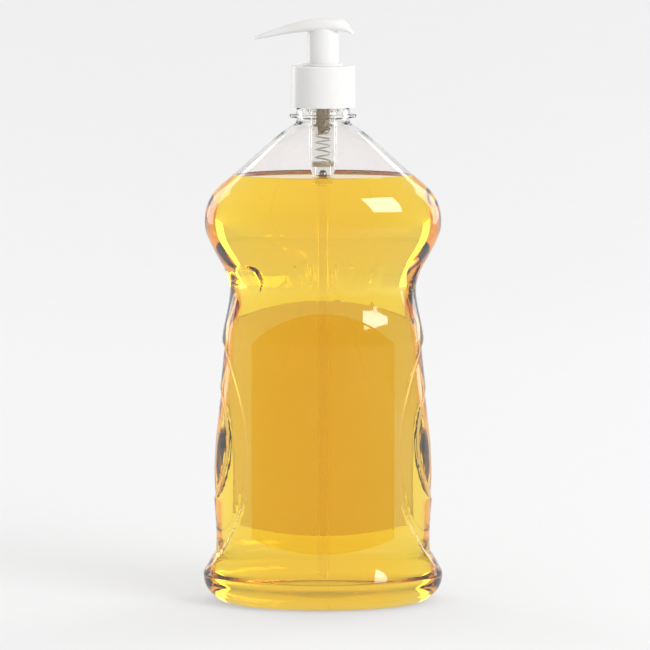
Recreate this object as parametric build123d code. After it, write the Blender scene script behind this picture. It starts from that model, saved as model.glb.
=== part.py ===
from build123d import *
import math
import os

# A clear blow moulded dish soap bottle with a screwed-on lotion pump. Millimetres, +Z up.
# Origin: middle of the foot. The back label faces -Y and the nozzle points along -X.

# ---- Bottle: heights above the foot ----
foot_round_height = 1.5
bead_height = 14.0
panel_low_height = 30.0
panel_mid_height = 78.0
panel_top_height = 131.0
waist_height = 156.0
bulge_height = 189.0
shoulder_height = 209.0
throat_height = 234.5
neck_height = 239.0

# ---- Bottle: half widths (X) and half depths (Y) of its oval sections ----
foot_half_width, foot_half_depth = 49.5, 30.0
foot_round = 3.1
bead_half_width, bead_half_depth = 59.6, 39.2
panel_low_half_width, panel_half_depth = 57.6, 35.0
panel_mid_half_width = 55.5
panel_top_half_width = 49.9
waist_half_width, waist_half_depth = 46.0, 31.2
bulge_half_width, bulge_half_depth = 58.4, 39.0
shoulder_half_width, shoulder_half_depth = 48.8, 33.6
throat_half_width, throat_half_depth = 19.2, 17.0
shoulder_slope = -1.22
wall = 0.6

# ---- Bottle: oval side panels, each sunk into the one before ----
side_panel_low, side_panel_high = 14.0, 131.0
side_panel_half_depth = 26.7
side_panel_step = 1.3
side_panel_toe_height = 24.5
side_panel_toe_step = 4.6
grip_low, grip_high = 51.0, 107.0
grip_half_depth = 18.0
grip_step = 0.8

# ---- Bottle: waist flutes of each face: angle round the section, tip height, width ----
flutes = [(-9.7, 151.0, 6.4), (9.7, 147.0, 6.4), (32.6, 142.0, 7.0), (64.0, 133.0, 13.0)]
flute_top = 175.0
flute_depth = 1.2

# ---- Bottle: push-up of the base ----
push_up_height = 5.0
push_up_margin = 9.0

# ---- Neck ----
neck_radius = 13.1
neck_bore_radius = 10.85
finish_radius = 12.6
neck_top = 262.0
ring_radius = 16.5
ring_low, ring_thickness = 241.0, 1.5
neck_blend_height = 228.0

# ---- Liquid and labels ----
liquid_level = 211.6
soft_clearance = 0.3
label_half_width = 34.8
label_corner_low = 35.5
label_sag = 6.5
label_corner_high = 131.5
label_top = 147.0
label_film = 0.12
label_gap = 0.1

# ---- Pump ----
running_fit = 0.05
snug_fit = 0.02
stroke = 12.0
piston_travel = 0.9
ball_travel = 1.1
ball_headroom = 0.5
skirt_clearance = 2.2

gasket_thickness = 0.9
flange_radius, flange_thickness = 12.9, 1.5
cup_radius, cup_depth, cup_floor = 10.4, 16.4, 1.5
barrel_radius, barrel_bore_radius = 6.85, 5.7
barrel_low, cone_low, spigot_low = 218.0, 212.0, 202.5
cone_low_radius = 5.0
spigot_radius = 4.15
vent_radius = 0.6

closure_radius, closure_top_radius = 15.9, 15.6
closure_wall = 1.4
closure_low, closure_high = 246.0, 266.3
closure_edge = 0.9

lock_radius, lock_bore_radius = 8.8, 7.68
lock_rim_radius, lock_rim_thickness = 9.85, 1.0
lock_floor = 1.5

stem_radius, stem_bore_radius = 3.5, 2.3
stem_shoulder_radius = 4.7
stem_top = 281.0
window_radius = 1.1
piston_low, piston_step, piston_high = 233.0, 238.0, 243.0
piston_relief = 0.7
plug_flange_thickness = 1.7
plug_pin_radius, plug_pin_length = 2.6, 2.6

spring_radius, spring_wire_radius = 3.475, 0.375
spring_turns = 4.25
retainer_thickness = 2.0
retainer_bore_radius = 1.8
retainer_slot_reach, retainer_slot_width = 3.0, 1.0
ball_radius, ball_seat_radius = 2.2, 1.6
ball_chamber_radius = 3.6
seat_height = 1.4
seat_drop = 0.6

tube_radius, tube_wall = 2.8, 0.8
tube_low = 9.0
tube_insertion = 7.5

# ---- Actuator head ----
skirt_radius, skirt_wall = 7.6, 0.9
socket_radius = 5.2
socket_low = 270.0
channel_radius, outlet_radius = 1.8, 0.65
# Stations along the head: x, underside, top, half width.
head_stations = [
    (-33.6, 279.0, 280.7, 2.4),
    (-29.0, 279.9, 282.3, 3.1),
    (-23.0, 281.0, 284.5, 3.9),
    (-16.0, 282.2, 286.9, 5.2),
    (-9.0, 283.0, 288.7, 7.0),
    (-2.0, 283.5, 289.5, 8.1),
    (5.0, 283.6, 289.5, 8.1),
    (10.0, 283.1, 288.6, 6.8),
    (13.0, 282.4, 285.7, 4.9),
    (15.0, 281.6, 282.6, 2.4),
]

# Knots of the bottle's profile: height, half width, half depth, then the slopes of both
# (growth per millimetre of height) just under the knot and just above it.
knots = [
    (0.0, foot_half_width, foot_half_depth, (3.0, 3.0), (3.0, 3.0)),
    (foot_round_height, foot_half_width + foot_round, foot_half_depth + foot_round,
     (1.5, 1.5), (1.5, 1.5)),
    (bead_height, bead_half_width, bead_half_depth, (0.05, 0.05), (-0.2, -0.3)),
    (panel_low_height, panel_low_half_width, panel_half_depth + 0.3,
     (-0.07, -0.04), (-0.07, -0.04)),
    (panel_mid_height, panel_mid_half_width, panel_half_depth, (-0.07, 0.0), (-0.07, 0.0)),
    (panel_top_height, panel_top_half_width, panel_half_depth, (-0.06, 0.0), (-0.06, 0.0)),
    (waist_height, waist_half_width, waist_half_depth, (0.0, 0.0), (0.0, 0.0)),
    (bulge_height, bulge_half_width, bulge_half_depth, (0.0, 0.0), (0.0, 0.0)),
    (shoulder_height, shoulder_half_width, shoulder_half_depth,
     (shoulder_slope, 0.62 * shoulder_slope), (shoulder_slope, 0.62 * shoulder_slope)),
    (throat_height, throat_half_width, throat_half_depth,
     (shoulder_slope, 0.66 * shoulder_slope), (shoulder_slope, 0.66 * shoulder_slope)),
    (neck_height, neck_radius, neck_radius, (0.0, 0.0), (0.0, 0.0)),
]
knot_steps = [2, 5, 4, 6, 6, 6, 8, 6, 5, 4]


def hermite(part, span, start, end, start_slope, end_slope):
    """Cubic through two values with two slopes, at a share of the span, and its slope."""
    value = (start * (1 - part) ** 2 * (1 + 2 * part) + end * part ** 2 * (3 - 2 * part)
             + span * (start_slope * part * (1 - part) ** 2 - end_slope * part ** 2 * (1 - part)))
    slope = (6 * part * (1 - part) * (end - start) / span
             + start_slope * (1 - part) * (1 - 3 * part) + end_slope * part * (3 * part - 2))
    return value, slope


def section_at(height):
    """Half width, half depth and slope of the half width of the bottle at a height."""
    for low, high in zip(knots, knots[1:]):
        if height <= high[0]:
            break
    span = high[0] - low[0]
    part = (height - low[0]) / span
    half_width, slope = hermite(part, span, low[1], high[1], low[4][0], high[3][0])
    half_depth, _ = hermite(part, span, low[2], high[2], low[4][1], high[3][1])
    return half_width, half_depth, slope


def section_heights():
    """Heights of the bottle's sections, with each stretch between knots divided evenly."""
    heights = [0.0]
    for low, high, steps in zip(knots, knots[1:], knot_steps):
        heights += [low[0] + (high[0] - low[0]) * step / steps for step in range(1, steps + 1)]
    return heights


def ease(part):
    """Smooth step from 0 to 1."""
    part = min(max(part, 0.0), 1.0)
    return part * part * (3 - 2 * part)


def oval(height, half_width, half_depth):
    """Level oval face in two halves, which part in the middle of the front and of the back."""
    left = EllipticalCenterArc((0, 0), half_width, half_depth, 90, arc_size=180)
    right = EllipticalCenterArc((0, 0), half_width, half_depth, 270, arc_size=180)
    return Plane.XY.offset(height) * make_face(left + right)


def cylinder(radius, low, high):
    """Upright cylinder about the axis between two heights."""
    return Pos(0, 0, low) * Cylinder(radius, high - low, align=(Align.CENTER, Align.CENTER, Align.MIN))


def tube(radius, bore, low, high):
    return cylinder(radius, low, high) - cylinder(bore, low - 1, high + 1)


def cone(low_radius, high_radius, low, high):
    return Pos(0, 0, low) * Cone(low_radius, high_radius, high - low,
                                 align=(Align.CENTER, Align.CENTER, Align.MIN))


def body_of_sections(inset, neck_inset):
    """The bottle's stack of ovals, each moved inwards along the profile's normal. The inset
    grows to neck_inset where the blown wall runs into the thicker neck."""
    sections = []
    for height in section_heights():
        half_width, half_depth, slope = section_at(height)
        grown = (height - neck_blend_height) / (neck_height - neck_blend_height)
        depth = inset + (neck_inset - inset) * ease(grown)
        steepness = math.hypot(1, slope)
        sections.append(oval(height + depth * slope / steepness,
                             half_width - depth / steepness,
                             half_depth - depth / steepness))
    return loft(sections)


def panel_floor(inset, step, toe_step):
    """Stack of ovals whose flanks are the floor of a side panel. It runs out past the
    bottle's skin at the bead, is deepest at the toe and then keeps its step."""
    sections = [oval(side_panel_low - 6, bead_half_width + 4 - inset, bead_half_depth + 4 - inset)]
    low = side_panel_toe_height
    high = side_panel_high + 8
    fade_height = 45.0
    half_width, half_depth, _ = section_at(side_panel_low)
    sections.append(oval(side_panel_low, half_width + 0.3 - inset, half_depth + 0.3 - inset))
    steps = 12
    for index in range(steps + 1):
        height = low + (high - low) * index / steps
        half_width, half_depth, _ = section_at(height)
        depth = step + (toe_step - step) * (1 - ease((height - low) / fade_height))
        sections.append(oval(height, half_width - depth - inset, half_depth - 0.8 * step - inset))
    return loft(sections)


def side_cut(low, high, half_depth, floor, inset):
    """What one side panel takes away: an oval prism on both sides, outside its floor."""
    outline = Plane.YZ.offset(0) * Pos(0, (low + high) / 2) * Ellipse(
        half_depth + inset, (high - low) / 2 + inset)
    prism = extrude(outline, amount=2 * bead_half_width, both=True)
    return prism - floor


def flute_cut(angle, tip, width, inset):
    """Tool of one flute: equal circles whose path runs out of the skin towards the tip, so
    that the groove narrows to a point. The width at the top comes from the tool's radius."""
    turn = math.radians(angle)
    half_width, half_depth, _ = section_at(waist_height)
    skin_radius = math.hypot(half_width * math.cos(turn), half_depth * math.sin(turn)) ** 3
    skin_radius /= half_width * half_depth
    joint_radius = width ** 2 / (8 * flute_depth)
    radius = 1 / (1 / joint_radius - 1 / skin_radius)
    circles = []
    steps = 7
    for index in range(-1, steps + 1):
        part = index / steps
        height = tip + (flute_top - tip) * part
        bite = flute_depth * min(1.0, 1.6 * part) ** 2
        if index < 0:
            bite = -0.4
        if index == steps:
            bite = -1.6
        half_width, half_depth, _ = section_at(height)
        normal = Vector(math.sin(turn) / half_width, -math.cos(turn) / half_depth).normalized()
        skin = Vector(half_width * math.sin(turn), -half_depth * math.cos(turn))
        centre = skin + normal * (radius - bite)
        circles.append(Pos(centre.X, centre.Y, height) * Circle(radius + inset))
    return loft(circles)


def push_up(inset):
    """Oval dome pressed into the base."""
    rings = []
    for part in (-0.4, 0.0, 0.5, 0.8, 1.0):
        share = math.sqrt(1 - (0.92 * part) ** 2)
        rings.append(oval(push_up_height * part + inset * max(part, 0.0),
                          (foot_half_width - push_up_margin) * share + inset,
                          (foot_half_depth - push_up_margin) * share + inset))
    return loft(rings)


def bottle_form(inset, neck_inset):
    """The bottle's outer form, or with an inset the form of its inside."""
    form = body_of_sections(inset, neck_inset)
    panel = panel_floor(inset, side_panel_step, side_panel_toe_step)
    form -= side_cut(side_panel_low, side_panel_high, side_panel_half_depth, panel, inset)
    grip = panel_floor(inset, side_panel_step + grip_step, side_panel_toe_step + grip_step)
    form -= side_cut(grip_low, grip_high, grip_half_depth, grip, inset)
    for angle, tip, width in flutes:
        groove = flute_cut(angle, tip, width, inset)
        form -= groove
        form -= Rot(0, 0, 180) * groove
    return form - push_up(inset)


def make_bottle():
    neck = cylinder(neck_radius, neck_height, ring_low + ring_thickness + 3.0)
    neck += cylinder(finish_radius, ring_low + ring_thickness + 3.0, neck_top)
    ring = cylinder(ring_radius, ring_low, ring_low + ring_thickness)
    ring = fillet(ring.edges().filter_by(GeomType.CIRCLE), 0.45)
    outside = bottle_form(0.0, 0.0) + neck + ring
    inside = bottle_form(wall, neck_radius - neck_bore_radius)
    bore = cylinder(neck_bore_radius, neck_height - 0.5, neck_top + 1)
    return outside - inside - bore


def make_liquid():
    space = bottle_form(wall + soft_clearance, neck_radius - neck_bore_radius)
    level = Pos(0, 0, liquid_level) * Box(200, 200, 100, align=(Align.CENTER, Align.CENTER, Align.MIN))
    hole = cylinder(tube_radius + soft_clearance, tube_low - soft_clearance, liquid_level + 1)
    hole += cylinder(spigot_radius + soft_clearance, spigot_low - soft_clearance, liquid_level + 1)
    return space - level - hole


def make_label(side):
    """Film on the face towards side (-1 or +1 along Y): arched top, straight flanks, sagging
    lower edge, following the skin of the bottle."""
    lift = label_gap + label_film
    skin = body_of_sections(-lift, -lift) - body_of_sections(-label_gap, -label_gap)
    left = -label_half_width
    right = label_half_width
    outline = Polyline((right, label_corner_high), (right, label_corner_low))
    outline += ThreePointArc((right, label_corner_low), (0, label_corner_low - label_sag),
                             (left, label_corner_low))
    outline += Polyline((left, label_corner_low), (left, label_corner_high))
    outline += ThreePointArc((left, label_corner_high), (0, label_top), (right, label_corner_high))
    face = Plane.XZ * make_face(outline)
    prism = extrude(face, amount=-side * 60)
    return skin & prism


def make_closure():
    """Collar: slightly tapered shell with a rounded shoulder and a hole for the lock ring."""
    shell = cone(closure_radius, closure_top_radius, closure_low, closure_high)
    shell = fillet(shell.edges().group_by(Axis.Z)[-1], closure_edge)
    plate_low = neck_top + gasket_thickness + flange_thickness + running_fit
    shell -= cylinder(closure_radius - closure_wall, closure_low - 1, plate_low)
    return shell - cylinder(lock_radius + running_fit, plate_low - 1, closure_high + 1)


def make_gasket():
    return tube(finish_radius, cup_radius + running_fit, neck_top, neck_top + gasket_thickness)


def flange_top():
    return neck_top + gasket_thickness + flange_thickness


def cup_floor_top():
    return flange_top() - cup_depth + cup_floor


def seat_low():
    return cone_low - seat_drop


def ball_height():
    """Height of the ball's centre, where it rests in the cone of its seat."""
    half_angle = math.atan((ball_chamber_radius - ball_seat_radius) / seat_height)
    apex = seat_low() - ball_seat_radius / math.tan(half_angle)
    return apex + (ball_radius + snug_fit) / math.sin(half_angle)


def retainer_low():
    return ball_height() + ball_radius + ball_travel + ball_headroom


def make_housing():
    """Barrel of the pump: flange, cup for the lock ring, bore, ball chamber and spigot."""
    housing = cylinder(flange_radius, flange_top() - flange_thickness, flange_top())
    housing += cylinder(cup_radius, flange_top() - cup_depth, flange_top())
    housing += cylinder(barrel_radius, barrel_low, flange_top() - cup_depth)
    housing += cone(cone_low_radius, barrel_radius, cone_low, barrel_low)
    housing += cylinder(spigot_radius, spigot_low, cone_low)
    housing -= cylinder(lock_radius + snug_fit, cup_floor_top(), flange_top() + 1)
    housing -= cylinder(barrel_bore_radius, retainer_low(), cup_floor_top() + 1)
    housing -= cylinder(ball_chamber_radius, seat_low() + seat_height, retainer_low() + 0.1)
    housing -= cone(ball_seat_radius, ball_chamber_radius, seat_low(), seat_low() + seat_height)
    housing -= cylinder(ball_seat_radius, spigot_low, cone_low)
    housing -= cylinder(tube_radius + snug_fit, spigot_low - 1, spigot_low + tube_insertion + 0.5)
    vent = Pos(0, 0, piston_high + piston_travel + 1.6) * Rot(90, 0, 0) * Cylinder(vent_radius, 40)
    return housing - vent


def make_lock_ring():
    """Chaplet: rim over the collar, sleeve in the cup and a floor that guides the stem."""
    ring = cylinder(lock_rim_radius, closure_high + running_fit,
                    closure_high + running_fit + lock_rim_thickness)
    ring = fillet(ring.edges().group_by(Axis.Z)[-1], 0.4)
    ring += cylinder(lock_radius, cup_floor_top(), closure_high + running_fit)
    ring -= cylinder(lock_bore_radius, cup_floor_top() + lock_floor, closure_high + 5)
    return ring - cylinder(stem_radius + running_fit, cup_floor_top() - 1, closure_high + 5)


def plug_flange_top():
    return piston_step - snug_fit


def plug_flange_low():
    return plug_flange_top() - plug_flange_thickness


def make_stem():
    """Hollow stem. Its shoulder stops under the lock ring, and two windows let soap in."""
    stem = cylinder(stem_radius, plug_flange_top(), stem_top)
    stem += cylinder(stem_shoulder_radius, piston_high + piston_travel, cup_floor_top() - 0.1)
    stem -= cylinder(stem_bore_radius, plug_flange_top() - 1, stem_top + 1)
    window = Pos(0, 0, plug_flange_top() + 1.9) * Rot(90, 0, 0) * Cylinder(window_radius, 20)
    return stem - window


def make_plug():
    """Plug in the foot of the stem: slotted shank, flange under the piston, spring pin."""
    shank = cylinder(stem_bore_radius - snug_fit, plug_flange_top(), plug_flange_top() + 4.0)
    shank &= Box(10, 2 * window_radius, 600)
    shank += cylinder(stem_shoulder_radius, plug_flange_low(), plug_flange_top())
    pin = cylinder(plug_pin_radius, plug_flange_low() - plug_pin_length, plug_flange_low())
    pin = chamfer(pin.edges().group_by(Axis.Z)[0], 0.6)
    return shank + pin


def make_piston():
    """Sleeve with a flared lip at each end and a relieved waist between them."""
    radius = barrel_bore_radius - running_fit
    waist = radius - piston_relief
    lip = 1.2
    taper = 0.8
    piston = cylinder(radius, piston_low, piston_low + lip)
    piston += cone(radius, waist, piston_low + lip, piston_low + lip + taper)
    piston += cylinder(waist, piston_low + lip + taper, piston_high - lip - taper)
    piston += cone(waist, radius, piston_high - lip - taper, piston_high - lip)
    piston += cylinder(radius, piston_high - lip, piston_high)
    piston -= cylinder(stem_radius + running_fit, piston_low - 1, piston_high + 1)
    return piston - cylinder(stem_shoulder_radius + 0.1, piston_low - 1, piston_step)


def retainer_top():
    return retainer_low() + retainer_thickness


def make_spring():
    low = retainer_top() + spring_wire_radius
    high = plug_flange_low() - spring_wire_radius
    path = Pos(0, 0, low) * Helix((high - low) / spring_turns, high - low, spring_radius)
    wire = Plane(origin=path @ 0, z_dir=path % 0) * Circle(spring_wire_radius)
    return sweep(wire, path=path, is_frenet=True)


def make_retainer():
    """Ring that carries the spring. Four slots beside its bore let soap past the ball."""
    ring = cylinder(barrel_bore_radius - snug_fit, retainer_low(), retainer_top())
    ring -= cylinder(retainer_bore_radius, retainer_low() - 1, retainer_top() + 1)
    for turn in range(0, 360, 90):
        slot = Box(2 * retainer_slot_reach, retainer_slot_width, 3 * retainer_thickness)
        ring -= Rot(0, 0, turn) * Pos(0, 0, retainer_top()) * slot
    return ring


def make_ball():
    return Pos(0, 0, ball_height()) * Sphere(ball_radius)


def make_dip_tube():
    """Straight tube, cut aslant at its foot."""
    dip = tube(tube_radius, tube_radius - tube_wall, tube_low, spigot_low + tube_insertion)
    below = Box(40, 40, 10, align=(Align.CENTER, Align.CENTER, Align.MAX))
    slant = Pos(0, 0, tube_low + 1.5) * Rot(0, 30, 0) * below
    return dip - slant


def make_head():
    """Actuator: a hollow skirt, the socket of the stem, and a pad drawn out into a beak."""
    sections = []
    for x, low, high, half_width in head_stations:
        height = high - low
        plane = Plane(origin=(x, 0, (low + high) / 2), x_dir=(0, 1, 0), z_dir=(1, 0, 0))
        sections.append(plane * RectangleRounded(2 * half_width, height, 0.46 * height))
    head = loft(sections)
    roof = head_stations[5][1] + 1.0
    skirt_low = cup_floor_top() + lock_floor + stroke + skirt_clearance
    head += tube(skirt_radius, skirt_radius - skirt_wall, skirt_low, roof)
    head += tube(socket_radius, stem_radius + snug_fit, socket_low, roof)
    head -= cylinder(stem_radius + snug_fit, socket_low - 1, stem_top)
    head -= cylinder(channel_radius, stem_top - 1, roof + 2.0)
    tip = head_stations[0]
    start = Vector(channel_radius, 0, roof + 2.0)
    end = Vector(tip[0] - 1.0, 0, (tip[1] + tip[2]) / 2 - 0.25)
    run = end - start
    plane = Plane(origin=start, z_dir=run)
    channel = loft([plane * Circle(channel_radius), plane.offset(run.length) * Circle(outlet_radius)])
    return head - channel


pieces = {
    "bottle": make_bottle(),
    "liquid_soap": make_liquid(),
    "back_label": make_label(-1),
    "front_label": make_label(1),
    "screw_closure": make_closure(),
    "neck_gasket": make_gasket(),
    "pump_housing": make_housing(),
    "lock_ring": make_lock_ring(),
    "pump_stem": make_stem(),
    "stem_plug": make_plug(),
    "piston": make_piston(),
    "return_spring": make_spring(),
    "ball_retainer": make_retainer(),
    "inlet_ball": make_ball(),
    "dip_tube": make_dip_tube(),
    "actuator_head": make_head(),
}

os.makedirs("parts", exist_ok=True)
for name, piece in pieces.items():
    export_step(piece, f"parts/{name}.step")
    print(f"{name}: {piece.volume / 1000:.2f} cm3")
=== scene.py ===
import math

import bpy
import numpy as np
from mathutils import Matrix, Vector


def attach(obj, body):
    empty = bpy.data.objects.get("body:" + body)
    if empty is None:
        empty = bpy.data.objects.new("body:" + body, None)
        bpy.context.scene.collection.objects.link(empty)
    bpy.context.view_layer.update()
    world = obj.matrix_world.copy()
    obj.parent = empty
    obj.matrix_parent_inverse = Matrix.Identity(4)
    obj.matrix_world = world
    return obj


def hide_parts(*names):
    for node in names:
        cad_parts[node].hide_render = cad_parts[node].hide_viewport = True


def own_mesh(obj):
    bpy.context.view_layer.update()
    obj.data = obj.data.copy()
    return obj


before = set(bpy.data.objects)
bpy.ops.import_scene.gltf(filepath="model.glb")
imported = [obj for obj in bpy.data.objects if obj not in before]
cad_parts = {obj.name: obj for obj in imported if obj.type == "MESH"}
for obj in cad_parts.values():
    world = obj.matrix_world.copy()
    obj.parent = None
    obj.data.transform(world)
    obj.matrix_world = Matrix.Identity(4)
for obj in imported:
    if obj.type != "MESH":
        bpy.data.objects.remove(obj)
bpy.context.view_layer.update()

# %% [markdown]
# A dish soap bottle: one clear blow moulded bottle full of yellow soap, two labels and a pump.
# The pump is turned parts whose true form comes with the frame, so those get finishes here.
# The bottle, soap, labels and spring are made anew as surfaces worked out with numpy, because
# clear things need clean, smooth skins. Sizes are in millimetres until the mesh is filled.

# %% [markdown]
# A few words of arithmetic come first: millimetres to metres, and a smooth step.

MM = 0.001


def ease(part):
    """Smooth step: nought below 0, one above 1, and 3p^2 - 2p^3 between."""
    part = np.clip(part, 0.0, 1.0)
    return part * part * (3.0 - 2.0 * part)


# %% [markdown]
# Every new piece is a grid of points with its faces, so one helper turns both into an object.
# The volume enclosed is the sum of a . (b x c) over the triangles, and its sign tells whether
# the faces look outwards. That is surer than recalculating normals on a wall with two skins.

# %% From points and faces to an object
def mesh_object(name, points, face_arrays, material):
    """Smooth object of millimetre points. It is turned inside out where its volume is negative."""
    mesh = bpy.data.meshes.new(name)
    points = np.asarray(points)
    corners = [face for faces in face_arrays for face in faces.tolist()]
    mesh.from_pydata((points * MM).tolist(), [], corners)
    triangles = np.concatenate([faces[:, (0, k, k + 1)] for faces in face_arrays
                                for k in range(1, faces.shape[1] - 1)])
    a, b, c = (points[triangles[:, k]] for k in range(3))
    if np.einsum("ij,ij->", a, np.cross(b, c)) < 0:
        mesh.flip_normals()
    mesh.polygons.foreach_set("use_smooth", [True] * len(mesh.polygons))
    mesh.materials.append(material)
    mesh.update()
    piece = bpy.data.objects.new(name, mesh)
    bpy.context.scene.collection.objects.link(piece)
    print(name, len(triangles), "triangles")
    return piece


def strip_faces(rows, columns, start=0):
    """Quads between rings of points that close on themselves, row by row."""
    row, column = np.meshgrid(np.arange(rows - 1), np.arange(columns), indexing="ij")
    right = (column + 1) % columns
    quads = [row * columns + column, row * columns + right,
             (row + 1) * columns + right, (row + 1) * columns + column]
    return np.stack(quads, -1).reshape(-1, 4) + start


def fan_faces(centre, ring_start, columns, turned=False):
    """Triangles from a pole to a ring."""
    ring = np.arange(columns)
    after = (ring + 1) % columns
    order = (after, ring) if turned else (ring, after)
    return np.stack([np.full(columns, centre), order[0] + ring_start, order[1] + ring_start], -1)


# %% [markdown]
# The bottle's side is a stack of ovals, as blowing gives it. It could be lofted or sculpted, but
# a formula keeps it smooth: each height has a half width and a half depth, and cubic pieces join
# the knots. Panels, grips and flutes are then depths that the same formula sinks the skin by.

# %% Profile of the bottle
SHOULDER = -1.22
KNOTS = np.array([
    # height, half width, half depth, slopes below, slopes above
    (0.0, 49.5, 30.0, 3.0, 3.0, 3.0, 3.0),
    (1.5, 52.6, 33.1, 1.5, 1.5, 1.5, 1.5),
    (14.0, 59.6, 39.2, 0.05, 0.05, -0.2, -0.3),
    (30.0, 57.6, 35.3, -0.07, -0.04, -0.07, -0.04),
    (78.0, 55.5, 35.0, -0.07, 0.0, -0.07, 0.0),
    (131.0, 49.9, 35.0, -0.06, 0.0, -0.06, 0.0),
    (156.0, 46.0, 31.2, 0.0, 0.0, 0.0, 0.0),
    (189.0, 58.4, 39.0, 0.0, 0.0, 0.0, 0.0),
    (209.0, 48.8, 33.6, SHOULDER, 0.62 * SHOULDER, SHOULDER, 0.62 * SHOULDER),
    (234.5, 19.2, 17.0, SHOULDER, 0.66 * SHOULDER, SHOULDER, 0.66 * SHOULDER),
    (239.0, 13.1, 13.1, 0.0, 0.0, 0.0, 0.0),
])
PANEL_LOW, PANEL_HIGH, PANEL_HALF_DEPTH = 14.0, 131.0, 26.7
PANEL_STEP, TOE_STEP, TOE_HEIGHT, TOE_FADE, TOE_START = 1.3, 4.6, 24.5, 45.0, -0.3
PANEL_SHARPNESS = 18.0
LEDGE_SHARE = 0.8
GRIP_LOW, GRIP_HIGH, GRIP_HALF_DEPTH, GRIP_STEP = 51.0, 107.0, 18.0, 0.8
GRIP_SHARPNESS = 9.0
# Each flute: its turn in degrees from the middle of a face, the height of its tip, its width.
FLUTES = [(-9.7, 151.0, 6.4), (9.7, 147.0, 6.4), (32.6, 142.0, 7.0), (64.0, 133.0, 13.0)]
FLUTE_TOP, FLUTE_DEPTH = 175.0, 1.2
FLUTE_RISE, FADE_FROM, FADE_SPAN = 1.6, 0.82, 0.14


def half_sizes(height):
    """Half width and half depth at each height: cubic Hermite pieces between the knots."""
    height = np.asarray(height, float)
    low = np.clip(np.searchsorted(KNOTS[:, 0], height, "right") - 1, 0, len(KNOTS) - 2)
    first, second = KNOTS[low], KNOTS[low + 1]
    span = second[..., 0] - first[..., 0]
    t = np.clip((height - first[..., 0]) / span, 0.0, 1.0)
    sizes = []
    for axis in (0, 1):
        start, end = first[..., 1 + axis], second[..., 1 + axis]
        leave, arrive = first[..., 5 + axis] * span, second[..., 3 + axis] * span
        sizes.append((2 * t**3 - 3 * t**2 + 1) * start + (t**3 - 2 * t**2 + t) * leave
                     + (-2 * t**3 + 3 * t**2) * end + (t**3 - t**2) * arrive)
    return sizes


def oval_reach(y, height, low, high, half_depth):
    """How far out a point lies in an oval seen from the side: 0 in the middle and 1 at its edge."""
    return np.hypot(y / half_depth, (height - (low + high) / 2) / ((high - low) / 2))


def panel_depth(y, height):
    """The side panel, deepest at its toe and fading upwards, plus the grip oval sunk into it."""
    toe = TOE_START + (TOE_STEP - TOE_START) * (height - PANEL_LOW) / (TOE_HEIGHT - PANEL_LOW)
    fading = PANEL_STEP + (TOE_STEP - PANEL_STEP) * (1 - ease((height - TOE_HEIGHT) / TOE_FADE))
    floor_depth = np.maximum(np.where(height < TOE_HEIGHT, toe, fading), 0.0)
    panel = oval_reach(y, height, PANEL_LOW, PANEL_HIGH, PANEL_HALF_DEPTH)
    grip = oval_reach(y, height, GRIP_LOW, GRIP_HIGH, GRIP_HALF_DEPTH)
    return (floor_depth * ease((1 - panel) * PANEL_SHARPNESS)
            + GRIP_STEP * ease((1 - grip) * GRIP_SHARPNESS))


def flute_depth(turn, height, half_width, half_depth):
    """Round grooves: depth falls off as the square of the way across, and swells up from the tip."""
    groove = np.zeros(np.broadcast(turn, height).shape)
    for angle, tip, width in FLUTES:
        for half_turn in (0.0, math.pi):
            away = turn - math.radians(angle) - half_turn
            away = (away + math.pi) % (2 * math.pi) - math.pi
            along = away * np.hypot(half_width * np.cos(turn), half_depth * np.sin(turn))
            part = (height - tip) / (FLUTE_TOP - tip)
            swell = np.clip(FLUTE_RISE * part, 0.0, 1.0) ** 2
            bite = FLUTE_DEPTH * swell * (1 - ease((part - FADE_FROM) / FADE_SPAN))
            groove = np.maximum(groove, bite - FLUTE_DEPTH * (2 * along / width) ** 2)
    return groove


def side_points(turn, height, inset):
    """Points of the bottle's side: an oval at each height, its dents sunk in, moved in by inset."""
    half_width, half_depth = half_sizes(height)
    panel = panel_depth(-half_depth * np.cos(turn), height)
    groove = flute_depth(turn, height, half_width, half_depth)
    across, along = half_width - panel, half_depth - LEDGE_SHARE * panel
    x, y = across * np.sin(turn), -along * np.cos(turn)
    normal_x, normal_y = along * np.sin(turn), -across * np.cos(turn)
    step = (inset + groove) / np.hypot(normal_x, normal_y)
    return np.stack([x - normal_x * step, y - normal_y * step, height + 0 * x], -1)


def turns(columns):
    """Angles round the bottle, evenly spaced from the middle of the face with the back label."""
    return np.linspace(0, 2 * math.pi, columns, endpoint=False)


DOME_HEIGHT, DOME_HALF_WIDTH, DOME_HALF_DEPTH, DOME_CROWN = 5.0, 40.5, 21.0, 0.92


def dome_rings(columns, inset, count=8):
    """Rings of the push-up under the base, from its flat crown out to the foot."""
    part = np.linspace(1, 0, count)[:, None]
    share = np.sqrt(1 - (DOME_CROWN * part) ** 2)
    turn = turns(columns)[None, :]
    x = (DOME_HALF_WIDTH * share + inset) * np.sin(turn)
    y = -(DOME_HALF_DEPTH * share + inset) * np.cos(turn)
    return np.stack([x, y, DOME_HEIGHT * part + inset + 0 * x], -1)


# %% [markdown]
# Every finish is a node material made of the shader, a slow noise that shifts the colour a
# little and a fine noise as bump, as moulded plastic has. An even colour would look like paint.
# Noise on Object coordinates needs no unwrapping and stays put when a piece moves.

# %% Moulded plastic
SLOW_SCALE, BUMP_STRENGTH = 60.0, 0.5
SCATTER_RADIUS, SCATTER_SCALE = (0.004, 0.003, 0.002), 0.6


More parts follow.
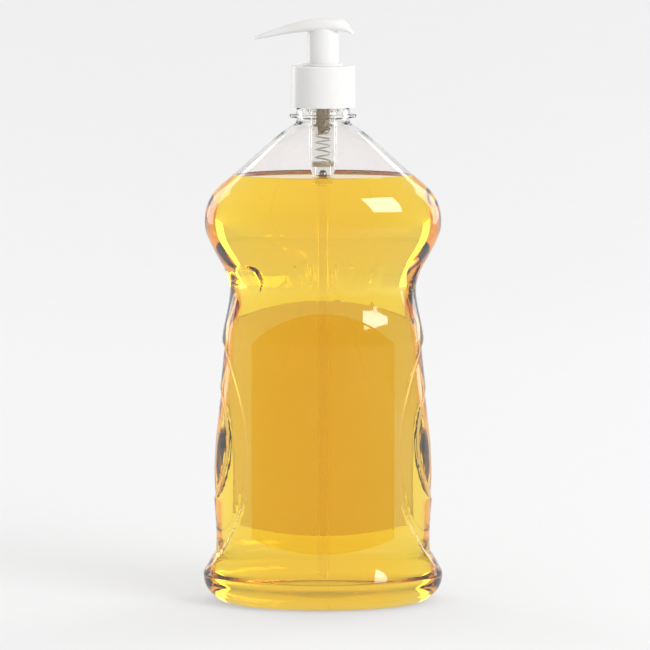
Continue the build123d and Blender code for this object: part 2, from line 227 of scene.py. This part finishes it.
def plastic(name, colour, roughness, transmission=0.0, ior=1.5, subsurface=0.0, grain=900.0,
            relief=0.00002, tint=0.03, coat=0.0):
    """Moulded plastic: fine grain as bump, and slow shifts of colour that darken it by tint."""
    material = bpy.data.materials.new(name)
    material.use_nodes = True
    tree = material.node_tree
    shader = tree.nodes["Principled BSDF"]
    for socket, value in (("Roughness", roughness), ("Transmission Weight", transmission),
                          ("IOR", ior), ("Subsurface Weight", subsurface),
                          ("Subsurface Radius", SCATTER_RADIUS),
                          ("Subsurface Scale", SCATTER_SCALE), ("Coat Weight", coat)):
        shader.inputs[socket].default_value = value
    place = tree.nodes.new("ShaderNodeTexCoord")
    slow, fine = tree.nodes.new("ShaderNodeTexNoise"), tree.nodes.new("ShaderNodeTexNoise")
    slow.inputs["Scale"].default_value = SLOW_SCALE
    fine.inputs["Scale"].default_value = grain
    ramp = tree.nodes.new("ShaderNodeValToRGB")
    ramp.color_ramp.elements[0].color = (*[c * (1 - tint) for c in colour], 1)
    ramp.color_ramp.elements[1].color = (*colour, 1)
    bump = tree.nodes.new("ShaderNodeBump")
    bump.inputs["Distance"].default_value = relief
    bump.inputs["Strength"].default_value = BUMP_STRENGTH
    for texture in (slow, fine):
        tree.links.new(place.outputs["Object"], texture.inputs["Vector"])
    tree.links.new(slow.outputs["Fac"], ramp.inputs["Fac"])
    tree.links.new(ramp.outputs["Color"], shader.inputs["Base Color"])
    tree.links.new(fine.outputs["Fac"], bump.inputs["Height"])
    tree.links.new(bump.outputs["Normal"], shader.inputs["Normal"])
    print("finish", name)
    return material


# %% [markdown]
# The bottle is clear PET, the collar and head are white polypropylene, and the pump's inner
# pieces are milky or cream. What lies in the soap bends light little against it, as a tube of
# nearly the same index does, so those have an index close to one.

# %% Plastics, foam and films
clear_plastic = plastic("clear_bottle", (1.0, 1.0, 1.0), 0.0, transmission=1.0, ior=1.42,
                        grain=120.0, tint=0.0)
white_plastic = plastic("white_moulded", (0.80, 0.79, 0.775), 0.32, subsurface=0.1, coat=0.15)
cream_plastic = plastic("cream_moulded", (0.80, 0.66, 0.46), 0.4, subsurface=0.1)
milky_plastic = plastic("milky_barrel", (0.99, 0.985, 0.97), 0.1, transmission=0.95, ior=1.14)
waxy_plastic = plastic("waxy_tube", (1.0, 0.985, 0.95), 0.08, transmission=1.0, ior=1.07)
foam = plastic("foam_washer", (0.9, 0.9, 0.88), 0.9, grain=2500.0, relief=0.0001)
film_amber = plastic("amber_film", (0.99, 0.90, 0.66), 0.04, transmission=1.0, ior=1.05)
film_cream = plastic("cream_film", (0.99, 0.88, 0.70), 0.45, transmission=0.85, ior=1.05)

# %% [markdown]
# The spring is drawn wire and the valve's ball is polished, so both are the same shader made
# metallic, with a very fine grain for the unevenness of their polish.

# %% Metals
def metal(name, colour, roughness):
    """Bright metal with a very fine grain."""
    material = plastic(name, colour, roughness, grain=3000.0)
    material.node_tree.nodes["Principled BSDF"].inputs["Metallic"].default_value = 1.0
    return material


spring_steel = metal("spring_steel", (0.55, 0.55, 0.56), 0.25)
ball_steel = metal("ball_steel", (0.32, 0.32, 0.33), 0.15)

# %% [markdown]
# The soap is a clear liquid with a yellow dye. A tinted surface would give one flat yellow, so
# the volume absorbs instead: all of the blue and a little green along the way through, and
# thick places turn deeper than thin ones.

# %% The soap's finish
SOAP_TINT, SOAP_DENSITY = (1.0, 0.900, 0.0, 1), 62.0
soap = plastic("yellow_soap", (1.0, 1.0, 1.0), 0.0, transmission=1.0, ior=1.36, grain=40.0, tint=0.0)
absorb = soap.node_tree.nodes.new("ShaderNodeVolumeAbsorption")
absorb.inputs["Color"].default_value = SOAP_TINT
absorb.inputs["Density"].default_value = SOAP_DENSITY
soap.node_tree.links.new(absorb.outputs["Volume"],
                         soap.node_tree.nodes["Material Output"].inputs["Volume"])

# %% [markdown]
# The neck is moulded true before the body is blown: circles for the support ring and the finish,
# and a thread whose ridge climbs one pitch a turn. A swept thread would have to be joined on, so
# here it is a ridge in the radius.

# %% Circles of the neck
NECK_RADIUS, NECK_BORE, FINISH_RADIUS, NECK_TOP = 13.1, 10.85, 12.6, 262.0
THREAD_LOW, THREAD_HIGH, THREAD_PITCH, THREAD_RIDGE = 248.0, 259.5, 4.23, 0.9


def neck_rings(radii_heights, columns, thread=False):
    """Circles of a profile of radii and heights, with the thread's ridge if asked."""
    turn = turns(columns)[None, :]
    radius, height = (np.array(values)[:, None] for values in zip(*radii_heights))
    radius = radius + 0 * turn
    if thread:
        lead = (height - THREAD_LOW - THREAD_PITCH * turn / (2 * math.pi)) / THREAD_PITCH
        inside = (height > THREAD_LOW) & (height < THREAD_HIGH)
        ridge = THREAD_RIDGE * ease(1.8 * np.cos(2 * math.pi * lead) - 0.8)
        radius = radius + np.where(inside, ridge, 0.0)
    return np.stack([radius * np.sin(turn), -radius * np.cos(turn), height + 0 * turn], -1)


# %% [markdown]
# The outer skin runs from the middle of the base over the foot, panels, waist and shoulder to
# the lip. Rows are closest where the foot curves and where the flutes are.

# %% The bottle's outer skin
COLUMNS = 256
SIDE_HEIGHTS = np.concatenate([np.linspace(0.0, 14.0, 26), np.linspace(14.9, 133.0, 108),
                               np.linspace(133.8, 239.0, 116)])
turn_fine = turns(COLUMNS)[None, :]
ring_profile = [(NECK_RADIUS, 240.4), (13.4, 240.9), (16.05, 241.0), (16.4, 241.15), (16.5, 241.5),
                (16.5, 242.0), (16.4, 242.35), (16.05, 242.5), (13.4, 242.6), (NECK_RADIUS, 243.1),
                (NECK_RADIUS, 245.2), (FINISH_RADIUS, 245.5)]
finish_profile = [(FINISH_RADIUS, height) for height in np.arange(246.0, 261.7, 0.45)]
outer = np.concatenate([
    dome_rings(COLUMNS, 0.0),
    side_points(turn_fine, SIDE_HEIGHTS[:, None], 0.0),
    neck_rings(ring_profile, COLUMNS),
    neck_rings(finish_profile + [(12.4, NECK_TOP)], COLUMNS, thread=True),
])
print("outer skin", outer.shape[0], "rings")

# %% [markdown]
# The wall is a real one, thin on the body and thick at the neck, because light bends twice in
# it. The inner skin follows the same formula moved in by the wall, with half the columns.

# %% The bottle's inner skin
WALL, WALL_GROWS_FROM, WALL_GROWS_OVER = 0.6, 228.0, 11.0
HALF = COLUMNS // 2
turn_coarse = turns(HALF)[None, :]
inner_heights = np.concatenate([np.linspace(239.0, 131.0, 66), np.linspace(129.0, 0.6, 62)])
grown = ease((inner_heights - WALL_GROWS_FROM) / WALL_GROWS_OVER)
wall = WALL + (NECK_RADIUS - NECK_BORE - WALL) * grown
inner = np.concatenate([
    neck_rings([(11.05, NECK_TOP), (NECK_BORE, 261.8), (NECK_BORE, 250.0)], HALF),
    side_points(turn_coarse, inner_heights[:, None], wall[:, None]),
    dome_rings(HALF, WALL)[::-1],
])
print("inner skin", inner.shape[0], "rings")

# %% [markdown]
# Two skins and a lip make one closed wall. The lip has two outer corners for each inner one, so
# it is closed by triangles, and the middle of the base by a fan on each side.

# %% The bottle
outer_count, inner_count = outer.shape[0] * COLUMNS, inner.shape[0] * HALF
points = np.concatenate([outer.reshape(-1, 3), inner.reshape(-1, 3),
                         [(0, 0, DOME_HEIGHT)], [(0, 0, DOME_HEIGHT + WALL)]])
skins = [strip_faces(outer.shape[0], COLUMNS), strip_faces(inner.shape[0], HALF, outer_count)]
last, pair = (outer.shape[0] - 1) * COLUMNS, np.arange(HALF)
first_corner, second_corner = last + 2 * pair, last + 2 * pair + 1
third_corner = last + (2 * pair + 2) % COLUMNS
inside_here, inside_next = outer_count + pair, outer_count + (pair + 1) % HALF
lip = [np.stack([first_corner, second_corner, inside_here], -1),
       np.stack([second_corner, inside_next, inside_here], -1),
       np.stack([second_corner, third_corner, inside_next], -1)]
pole = outer_count + inner_count
poles = [fan_faces(pole, 0, COLUMNS, turned=True), fan_faces(pole + 1, pole - HALF, HALF)]
bottle = mesh_object("bottle_skin", points, skins + lip + poles, clear_plastic)
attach(bottle, "bottle")
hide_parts("bottle")

# %% [markdown]
# The soap fills the bottle to the shoulder. Its skin lies within the bottle's wall, so no film
# of air shows between them, and its surface creeps up the wall in a small meniscus: the extra
# height dies away as the exponential of the way in from the wall.

# %% The soap
LEVEL, MENISCUS, MENISCUS_REACH, SURFACE_RADIUS = 211.6, 1.3, 1.6, 45.0
LIQUID_INSET = 0.12
liquid_heights = np.concatenate([np.linspace(0.3, 14.0, 20), np.linspace(15.0, 132.0, 90),
                                 np.linspace(133.0, LEVEL + MENISCUS, 90)])
liquid_side = side_points(turns(COLUMNS)[None, :], liquid_heights[:, None], LIQUID_INSET)
rim = liquid_side[-1]
shrink = np.array([0.985, 0.965, 0.94, 0.9, 0.8, 0.6, 0.35, 0.12])[:, None, None]
surface = np.repeat(rim[None], len(shrink), 0) * np.concatenate([shrink, shrink, 0 * shrink + 1], -1)
edge_distance = (1 - shrink[..., 0]) * SURFACE_RADIUS
surface[..., 2] = LEVEL + MENISCUS * np.exp(-edge_distance / MENISCUS_REACH)
dome = dome_rings(COLUMNS, LIQUID_INSET)
liquid = np.concatenate([dome, liquid_side, surface])
count = liquid.shape[0] * COLUMNS
points = np.concatenate([liquid.reshape(-1, 3), [(0, 0, DOME_HEIGHT + LIQUID_INSET)], [(0, 0, LEVEL)]])
liquid_faces = [strip_faces(liquid.shape[0], COLUMNS), fan_faces(count, 0, COLUMNS, turned=True),
                fan_faces(count + 1, count - COLUMNS, COLUMNS)]
liquid_piece = mesh_object("soap_fill", points, liquid_faces, soap)
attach(liquid_piece, "bottle")
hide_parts("liquid_soap")

# %% [markdown]
# Each label is a thin film stuck on one face, arched at the top and bowed at the foot. Wrapping
# a flat sheet with a modifier could miss the curve, so its points come from the bottle's own
# formula, lifted off it by the gap and by the gap and the film, and the rim joins the two sheets.

# %% The labels
LABEL_HALF, LABEL_LOW, LABEL_SAG, LABEL_TOP, LABEL_ARCH = 34.8, 29.0, 6.5, 147.0, 15.5
LABEL_LIFTS = (0.22, 0.1)


def label_piece(name, side, material, columns=64, rows=96):
    """Two nested sheets a film's thickness apart, joined round the edge."""
    across = np.linspace(-1, 1, columns)[None, :] * LABEL_HALF
    low_radius = (LABEL_HALF**2 + LABEL_SAG**2) / (2 * LABEL_SAG)
    top_radius = (LABEL_HALF**2 + LABEL_ARCH**2) / (2 * LABEL_ARCH)
    low = LABEL_LOW + low_radius - np.sqrt(low_radius**2 - across**2)
    high = LABEL_TOP - top_radius + np.sqrt(top_radius**2 - across**2)
    height = low + (high - low) * np.linspace(0, 1, rows)[:, None]
    half_width, _ = half_sizes(height)
    turn = np.arcsin(np.clip(across / half_width, -1, 1)) + (math.pi if side > 0 else 0.0)
    sheets = [side_points(turn, height, -lift) for lift in LABEL_LIFTS]
    index = np.arange(rows * columns).reshape(rows, columns)
    quads = np.stack([index[:-1, :-1], index[:-1, 1:], index[1:, 1:], index[1:, :-1]], -1)
    quads = quads.reshape(-1, 4)
    size = rows * columns
    edge = np.concatenate([index[0, :-1], index[:-1, -1], index[-1, :0:-1], index[:0:-1, 0]])
    after = np.roll(edge, -1)
    rim_faces = np.stack([after, edge, edge + size, after + size], -1)
    points = np.concatenate([sheet.reshape(-1, 3) for sheet in sheets])
    return mesh_object(name, points, [quads, quads[:, ::-1] + size, rim_faces], material)


back_label = label_piece("back_label_film", -1, film_amber)
front_label = label_piece("front_label_film", 1, film_cream)
for label, node, slot in ((back_label, "back_label", "amber_film"),
                          (front_label, "front_label", "white_film")):
    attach(label, "bottle")
    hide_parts(node)

# %% [markdown]
# The spring is a round wire wound on a helix. A curve with a bevel would do, but the grid gives
# flat closed ends. It shortens when the head is pressed.

# %% The return spring
SPRING_LOW, SPRING_HIGH, WIRE, COIL, COILS = 218.8, 236.28, 0.375, 3.475, 4.25
steps, around = 330, 12
along = np.linspace(0, 1, steps)[:, None]
angle = 2 * math.pi * COILS * along
middle = SPRING_LOW + WIRE + (SPRING_HIGH - SPRING_LOW - 2 * WIRE) * along
ring = turns(around)[None, :]
radius = COIL + WIRE * np.cos(ring)
wire = np.stack([radius * np.cos(angle), radius * np.sin(angle), middle + WIRE * np.sin(ring)], -1)
ends = [wire[0].mean(0), wire[-1].mean(0)]
points = np.concatenate([wire.reshape(-1, 3), ends])
spring_faces = [strip_faces(steps, around), fan_faces(steps * around, 0, around, turned=True),
                fan_faces(steps * around + 1, (steps - 1) * around, around)]
spring = mesh_object("spring_wire", points, spring_faces, spring_steel)
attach(spring, "spring")
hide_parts("return_spring")
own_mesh(spring)

# %% [markdown]
# The pump's own pieces are moulded and turned, and the frame already holds their true form. A
# new mesh would add nothing, so each only gets its finish.

# %% Finishes of the pump
FINISHES = {
    "screw_closure": white_plastic, "lock_ring": white_plastic, "actuator_head": white_plastic,
    "neck_gasket": foam, "pump_housing": milky_plastic, "pump_stem": cream_plastic,
    "stem_plug": cream_plastic, "ball_retainer": cream_plastic, "piston": waxy_plastic,
    "dip_tube": waxy_plastic, "inlet_ball": ball_steel,
}
for node, finish in FINISHES.items():
    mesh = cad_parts[node].data
    mesh.materials.clear()
    mesh.materials.append(finish)
    print(node, finish.name)

# %% [markdown]
# A pale sweep stands for the studio: a flat floor that bends up far behind the bottle, as paper
# does. It glows a little, so the soap, which shows what is behind it, stays bright.

# %% The floor
FLOOR_HALF_WIDTH, FLOOR_FRONT, BEND_FROM, BEND_RADIUS, SWEEP_HEIGHT = 4.0, -4.0, 1.2, 1.4, 4.0
FLOOR_GREY, FLOOR_GLOW = 0.42, 0.45
sweep_y = np.concatenate([[FLOOR_FRONT], np.linspace(0.8, 2.3, 24), [2.6, 2.6]])
bend = np.clip((sweep_y - BEND_FROM) / BEND_RADIUS, 0, 1)
sweep_z = BEND_RADIUS * (1 - np.sqrt(1 - bend**2))
sweep_z[-1] = SWEEP_HEIGHT
sheet = np.array([[(x, y, z) for x in (-FLOOR_HALF_WIDTH, FLOOR_HALF_WIDTH)] for y, z in zip(sweep_y, sweep_z)])
floor_mesh = bpy.data.meshes.new("studio_floor")
floor_quads = [(2 * k, 2 * k + 1, 2 * k + 3, 2 * k + 2) for k in range(len(sweep_y) - 1)]
floor_mesh.from_pydata(sheet.reshape(-1, 3).tolist(), [], floor_quads)
floor_mesh.polygons.foreach_set("use_smooth", [True] * len(floor_quads))
floor_finish = plastic("studio_paper", (FLOOR_GREY,) * 3, 0.9, grain=300.0)
floor_shader = floor_finish.node_tree.nodes["Principled BSDF"]
floor_shader.inputs["Emission Color"].default_value = (1, 1, 1, 1)
floor_shader.inputs["Emission Strength"].default_value = FLOOR_GLOW
floor_shader.inputs["Specular IOR Level"].default_value = 0.1
floor_mesh.materials.append(floor_finish)
floor = bpy.data.objects.new("studio_floor", floor_mesh)
bpy.context.scene.collection.objects.link(floor)

# %% [markdown]
# Light comes from all round, as in a white tent, with one large softbox in front on the right,
# which draws the bright windows on the bulge. Two more stand behind and light the clear edges.

# %% The lights
TENT_STRENGTH, BOTTLE_MIDDLE = 0.74, (0, 0, 0.15)
world = bpy.data.worlds.new("studio_air")
world.use_nodes = True
world.node_tree.nodes["Background"].inputs["Color"].default_value = (1, 1, 1, 1)
world.node_tree.nodes["Background"].inputs["Strength"].default_value = TENT_STRENGTH
bpy.context.scene.world = world


def aim(thing, place, target):
    """Puts a light or camera at a place and turns its -Z to the target."""
    thing.location = place
    thing.rotation_euler = (Vector(target) - Vector(place)).to_track_quat("-Z", "Y").to_euler()


def softbox(name, place, size, watts):
    """Rectangular lamp that looks at the middle of the bottle."""
    lamp = bpy.data.lights.new(name, "AREA")
    lamp.shape, lamp.size, lamp.size_y, lamp.energy = "RECTANGLE", size[0], size[1], watts
    thing = bpy.data.objects.new(name, lamp)
    bpy.context.scene.collection.objects.link(thing)
    aim(thing, place, BOTTLE_MIDDLE)
    return thing


softbox("key_softbox", (1.15, -0.95, 0.95), (0.85, 0.85), 15.0)
softbox("left_back_softbox", (-1.5, 1.3, 0.7), (1.1, 1.6), 11.0)
softbox("right_back_softbox", (1.5, 1.3, 0.7), (1.1, 1.6), 14.0)

# %% [markdown]
# A long lens from nearly two metres keeps the bottle's sides upright. The soap, wall, labels and
# tube lie behind each other, so light needs many passes to get through them.

# %% The camera and how light is followed
LIGHT_PASSES = 40
lens = bpy.data.cameras.new("camera")
lens.sensor_width, lens.lens = 36.0, 213.9
camera = bpy.data.objects.new("camera", lens)
bpy.context.scene.collection.objects.link(camera)
aim(camera, (0.001, -1.9, 0.355), (0.001, 0.0, 0.138))
bpy.context.scene.camera = camera
bpy.context.scene.view_settings.view_transform = "Standard"
bpy.context.scene.cycles.max_bounces = LIGHT_PASSES
bpy.context.scene.cycles.transmission_bounces = LIGHT_PASSES
